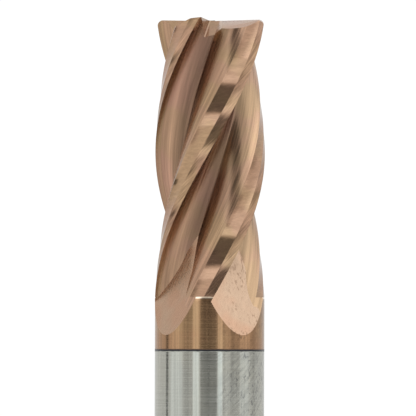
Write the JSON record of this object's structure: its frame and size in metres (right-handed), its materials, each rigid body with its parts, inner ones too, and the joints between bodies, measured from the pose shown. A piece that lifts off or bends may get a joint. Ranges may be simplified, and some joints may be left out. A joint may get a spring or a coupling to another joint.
{
  "type": "end mill",
  "caption": "Right-hand helix, corner-radius end mill with a coated fluted end and a plain ground cylindrical shank.",
  "frame": {"origin": "centre of the shank's end face", "axes": "+Z along the tool axis from the shank's end face towards the cutting end; the camera that took the picture looks along +Y"},
  "size_m": [0.0126, 0.0126, 0.0762],
  "materials": {
    "coating": "ground carbide under a copper-coloured vapour-deposited coating, satin to bright",
    "coating_edge": "dark blue-grey line where the coating ends, satin",
    "ground_carbide": "bare centreless-ground tungsten carbide, fine satin"
  },
  "bodies": {
    "root": {"cutting_head": "coating", "runout_neck": "coating", "coating_edge_band": "coating_edge", "shank": "ground_carbide"}
  },
  "joints": []
}
